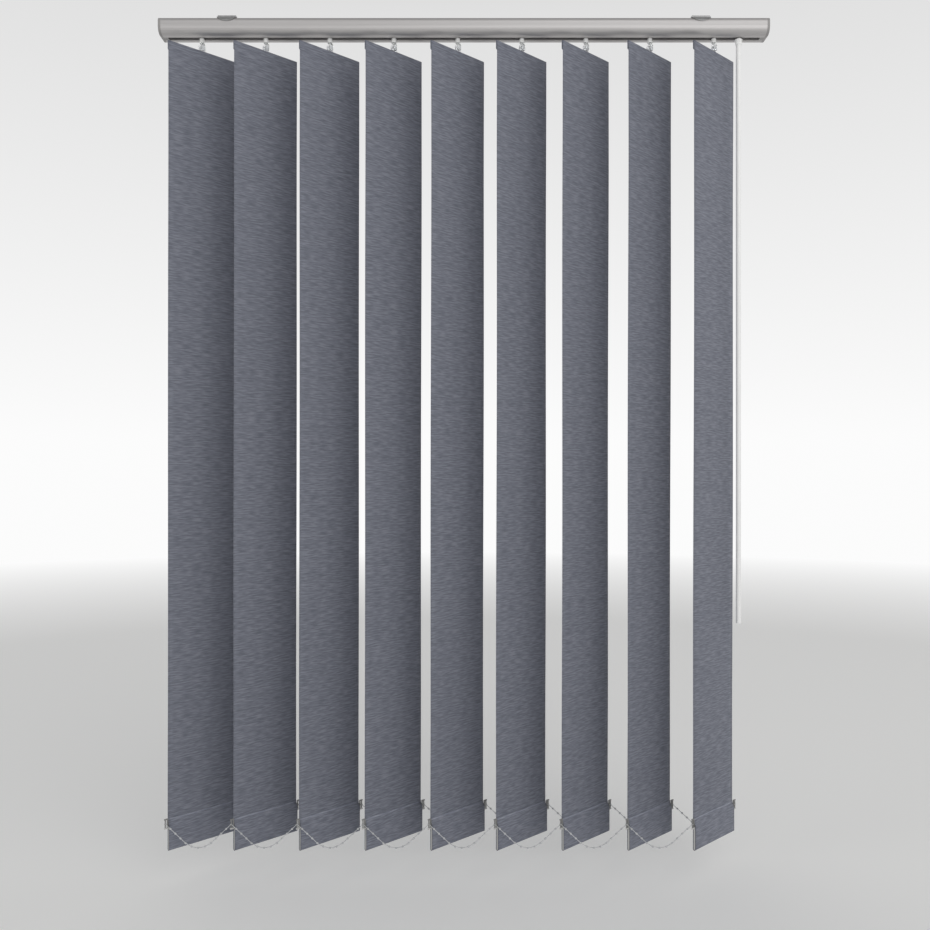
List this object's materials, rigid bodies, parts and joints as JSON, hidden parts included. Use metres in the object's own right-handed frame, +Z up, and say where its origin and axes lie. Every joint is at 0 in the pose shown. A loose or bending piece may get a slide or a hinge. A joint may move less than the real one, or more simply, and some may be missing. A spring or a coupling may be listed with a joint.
{
  "type": "blind.vertical",
  "caption": "Vertical blind with grey fabric vanes, aluminium headrail, clear hooks, weighted hems tied by bead chains and a white tilt wand",
  "frame": {"origin": "middle of the two ceiling screws, on the ceiling face of the clips", "axes": "+X along the rail towards the wand, +Y towards the window, +Z up"},
  "size_m": [0.736, 0.0711, 1],
  "materials": {
    "rail": "satin anodised",
    "cap": "satin",
    "clip": "plain",
    "rod": "mill",
    "carrier": "moulded",
    "sleeve": "moulded",
    "hook": "clear",
    "vane": "slub weave",
    "weight": "white coat",
    "chain": "moulded",
    "wand": "moulded"
  },
  "bodies": {
    "rail": {"headrail": "rail", "end_cap_left": "cap", "end_cap_right": "cap", "clip_left": "clip", "clip_right": "clip", "carrier_1": "carrier"},
    "rod": {"tilt_rod": "rod"},
    "carriage_2": {"carrier_2": "carrier"},
    "carriage_3": {"carrier_3": "carrier"},
    "carriage_4": {"carrier_4": "carrier"},
    "carriage_5": {"carrier_5": "carrier"},
    "carriage_6": {"carrier_6": "carrier"},
    "carriage_7": {"carrier_7": "carrier"},
    "carriage_8": {"carrier_8": "carrier"},
    "carriage_9": {"carrier_9": "carrier", "wand_carrier": "carrier"},
    "pinion_1": {"sleeve_1": "sleeve"},
    "pinion_2": {"sleeve_2": "sleeve"},
    "pinion_3": {"sleeve_3": "sleeve"},
    "pinion_4": {"sleeve_4": "sleeve"},
    "pinion_5": {"sleeve_5": "sleeve"},
    "pinion_6": {"sleeve_6": "sleeve"},
    "pinion_7": {"sleeve_7": "sleeve"},
    "pinion_8": {"sleeve_8": "sleeve"},
    "pinion_9": {"sleeve_9": "sleeve"},
    "blade_1": {"hook_1": "hook", "vane_1": "vane", "weight_1": "weight"},
    "blade_2": {"hook_2": "hook", "vane_2": "vane", "weight_2": "weight"},
    "blade_3": {"hook_3": "hook", "vane_3": "vane", "weight_3": "weight"},
    "blade_4": {"hook_4": "hook", "vane_4": "vane", "weight_4": "weight"},
    "blade_5": {"hook_5": "hook", "vane_5": "vane", "weight_5": "weight"},
    "blade_6": {"hook_6": "hook", "vane_6": "vane", "weight_6": "weight"},
    "blade_7": {"hook_7": "hook", "vane_7": "vane", "weight_7": "weight"},
    "blade_8": {"hook_8": "hook", "vane_8": "vane", "weight_8": "weight"},
    "blade_9": {"hook_9": "hook", "vane_9": "vane", "weight_9": "weight"},
    "front_chain": {"chain_front": "chain"},
    "rear_chain": {"chain_rear": "chain"},
    "wand_gear": {"wand_sleeve": "sleeve"},
    "wand_shaft": {"wand_stem": "sleeve"},
    "cup": {"wand_cup": "wand"},
    "stick": {"wand": "wand"}
  },
  "joints": [
    {"name": "traverse", "type": "slide", "parent": "rail", "child": "carriage_9", "axis": [-1, 0, 0], "range_m": [0, 0.464], "deforming": ["chain_front", "chain_rear"]},
    {"name": "gather_2", "type": "slide", "parent": "rail", "child": "carriage_2", "axis": [-1, 0, 0], "range_m": [-0.001, 0.059]},
    {"name": "gather_3", "type": "slide", "parent": "rail", "child": "carriage_3", "axis": [-1, 0, 0], "range_m": [-0.001, 0.117]},
    {"name": "gather_4", "type": "slide", "parent": "rail", "child": "carriage_4", "axis": [-1, 0, 0], "range_m": [-0.001, 0.175]},
    {"name": "gather_5", "type": "slide", "parent": "rail", "child": "carriage_5", "axis": [-1, 0, 0], "range_m": [-0.001, 0.233]},
    {"name": "gather_6", "type": "slide", "parent": "rail", "child": "carriage_6", "axis": [-1, 0, 0], "range_m": [-0.001, 0.291]},
    {"name": "gather_7", "type": "slide", "parent": "rail", "child": "carriage_7", "axis": [-1, 0, 0], "range_m": [-0.001, 0.349]},
    {"name": "gather_8", "type": "slide", "parent": "rail", "child": "carriage_8", "axis": [-1, 0, 0], "range_m": [-0.001, 0.407]},
    {"name": "tilt_1", "type": "hinge", "parent": "rail", "child": "blade_1", "pos_m": [-0.3194, 0, -0.0179], "axis": [0, 0, 1], "range_deg": [-32.5, 123.5]},
    {"name": "tilt_2", "type": "hinge", "parent": "carriage_2", "child": "blade_2", "pos_m": [-0.2414, 0, -0.0179], "axis": [0, 0, 1], "range_deg": [-32.6, 123.6]},
    {"name": "tilt_3", "type": "hinge", "parent": "carriage_3", "child": "blade_3", "pos_m": [-0.1634, 0, -0.0179], "axis": [0, 0, 1], "range_deg": [-32.6, 123.6]},
    {"name": "tilt_4", "type": "hinge", "parent": "carriage_4", "child": "blade_4", "pos_m": [-0.0854, 0, -0.0179], "axis": [0, 0, 1], "range_deg": [-32.6, 123.6]},
    {"name": "tilt_5", "type": "hinge", "parent": "carriage_5", "child": "blade_5", "pos_m": [-0.0074, 0, -0.0179], "axis": [0, 0, 1], "range_deg": [-32.6, 123.6]},
    {"name": "tilt_6", "type": "hinge", "parent": "carriage_6", "child": "blade_6", "pos_m": [0.0706, 0, -0.0179], "axis": [0, 0, 1], "range_deg": [-32.6, 123.6]},
    {"name": "tilt_7", "type": "hinge", "parent": "carriage_7", "child": "blade_7", "pos_m": [0.1486, 0, -0.0179], "axis": [0, 0, 1], "range_deg": [-32.6, 123.6]},
    {"name": "tilt_8", "type": "hinge", "parent": "carriage_8", "child": "blade_8", "pos_m": [0.2266, 0, -0.0179], "axis": [0, 0, 1], "range_deg": [-32.6, 123.6]},
    {"name": "tilt_9", "type": "hinge", "parent": "carriage_9", "child": "blade_9", "pos_m": [0.3046, 0, -0.0179], "axis": [0, 0, 1], "range_deg": [-32.6, 123.6]},
    {"name": "rod_turn", "type": "hinge", "parent": "rail", "child": "rod", "pos_m": [0, 0, -0.0118], "axis": [1, 0, 0], "range_deg": [-59.7, 226.6]},
    {"name": "pinion_turn_1", "type": "hinge", "parent": "rail", "child": "pinion_1", "pos_m": [-0.3194, 0, -0.0118], "axis": [1, 0, 0], "range_deg": [-59.7, 226.6]},
    {"name": "pinion_turn_2", "type": "hinge", "parent": "carriage_2", "child": "pinion_2", "pos_m": [-0.2414, 0, -0.0118], "axis": [1, 0, 0], "range_deg": [-59.7, 226.6]},
    {"name": "pinion_turn_3", "type": "hinge", "parent": "carriage_3", "child": "pinion_3", "pos_m": [-0.1634, 0, -0.0118], "axis": [1, 0, 0], "range_deg": [-59.7, 226.6]},
    {"name": "pinion_turn_4", "type": "hinge", "parent": "carriage_4", "child": "pinion_4", "pos_m": [-0.0854, 0, -0.0118], "axis": [1, 0, 0], "range_deg": [-59.7, 226.6]},
    {"name": "pinion_turn_5", "type": "hinge", "parent": "carriage_5", "child": "pinion_5", "pos_m": [-0.0074, 0, -0.0118], "axis": [1, 0, 0], "range_deg": [-59.7, 226.6]},
    {"name": "pinion_turn_6", "type": "hinge", "parent": "carriage_6", "child": "pinion_6", "pos_m": [0.0706, 0, -0.0118], "axis": [1, 0, 0], "range_deg": [-59.7, 226.6]},
    {"name": "pinion_turn_7", "type": "hinge", "parent": "carriage_7", "child": "pinion_7", "pos_m": [0.1486, 0, -0.0118], "axis": [1, 0, 0], "range_deg": [-59.7, 226.6]},
    {"name": "pinion_turn_8", "type": "hinge", "parent": "carriage_8", "child": "pinion_8", "pos_m": [0.2266, 0, -0.0118], "axis": [1, 0, 0], "range_deg": [-59.7, 226.6]},
    {"name": "pinion_turn_9", "type": "hinge", "parent": "carriage_9", "child": "pinion_9", "pos_m": [0.3046, 0, -0.0118], "axis": [1, 0, 0], "range_deg": [-59.7, 226.6]},
    {"name": "wand_gear_turn", "type": "hinge", "parent": "carriage_9", "child": "wand_gear", "pos_m": [0.3348, 0, -0.0118], "axis": [1, 0, 0], "range_deg": [-59.7, 226.6]},
    {"name": "wand_shaft_turn", "type": "hinge", "parent": "carriage_9", "child": "wand_shaft", "pos_m": [0.3348, 0, -0.0179], "axis": [0, 0, -1], "range_deg": [-119.3, 453]},
    {"name": "wand_swing", "type": "hinge", "parent": "carriage_9", "child": "cup", "pos_m": [0.3348, 0, -0.0266], "axis": [0, -1, 0], "range_deg": [0, 20]},
    {"name": "wand_twist", "type": "hinge", "parent": "cup", "child": "stick", "pos_m": [0.3348, 0, -0.0266], "axis": [0, 0, -1], "range_deg": [-119.3, 453]},
    {"name": "front_chain_turn", "type": "hinge", "parent": "blade_1", "child": "front_chain", "pos_m": [-0.35348, -0.03437, -0.9676], "axis": [0, 0, 1], "range_deg": [-123.6, 32.6]},
    {"name": "rear_chain_turn", "type": "hinge", "parent": "blade_1", "child": "rear_chain", "pos_m": [-0.28444, 0.03348, -0.9676], "axis": [0, 0, 1], "range_deg": [-123.6, 32.6]}
  ],
  "couplings": [
    {"joint": "gather_2", "follows": "traverse", "ratio": 0.125},
    {"joint": "gather_3", "follows": "traverse", "ratio": 0.25},
    {"joint": "gather_4", "follows": "traverse", "ratio": 0.375},
    {"joint": "gather_5", "follows": "traverse", "ratio": 0.5},
    {"joint": "gather_6", "follows": "traverse", "ratio": 0.625},
    {"joint": "gather_7", "follows": "traverse", "ratio": 0.75},
    {"joint": "gather_8", "follows": "traverse", "ratio": 0.875},
    {"joint": "tilt_2", "follows": "tilt_1", "ratio": 1},
    {"joint": "tilt_3", "follows": "tilt_1", "ratio": 1},
    {"joint": "tilt_4", "follows": "tilt_1", "ratio": 1},
    {"joint": "tilt_5", "follows": "tilt_1", "ratio": 1},
    {"joint": "tilt_6", "follows": "tilt_1", "ratio": 1},
    {"joint": "tilt_7", "follows": "tilt_1", "ratio": 1},
    {"joint": "tilt_8", "follows": "tilt_1", "ratio": 1},
    {"joint": "tilt_9", "follows": "tilt_1", "ratio": 1},
    {"joint": "rod_turn", "follows": "tilt_1", "ratio": 1.8333},
    {"joint": "pinion_turn_1", "follows": "tilt_1", "ratio": 1.8333},
    {"joint": "pinion_turn_2", "follows": "tilt_1", "ratio": 1.8333},
    {"joint": "pinion_turn_3", "follows": "tilt_1", "ratio": 1.8333},
    {"joint": "pinion_turn_4", "follows": "tilt_1", "ratio": 1.8333},
    {"joint": "pinion_turn_5", "follows": "tilt_1", "ratio": 1.8333},
    {"joint": "pinion_turn_6", "follows": "tilt_1", "ratio": 1.8333},
    {"joint": "pinion_turn_7", "follows": "tilt_1", "ratio": 1.8333},
    {"joint": "pinion_turn_8", "follows": "tilt_1", "ratio": 1.8333},
    {"joint": "pinion_turn_9", "follows": "tilt_1", "ratio": 1.8333},
    {"joint": "wand_gear_turn", "follows": "tilt_1", "ratio": 1.8333},
    {"joint": "wand_shaft_turn", "follows": "tilt_1", "ratio": 3.6667},
    {"joint": "wand_twist", "follows": "tilt_1", "ratio": 3.6667},
    {"joint": "front_chain_turn", "follows": "tilt_1", "ratio": -1},
    {"joint": "rear_chain_turn", "follows": "tilt_1", "ratio": -1}
  ]
}
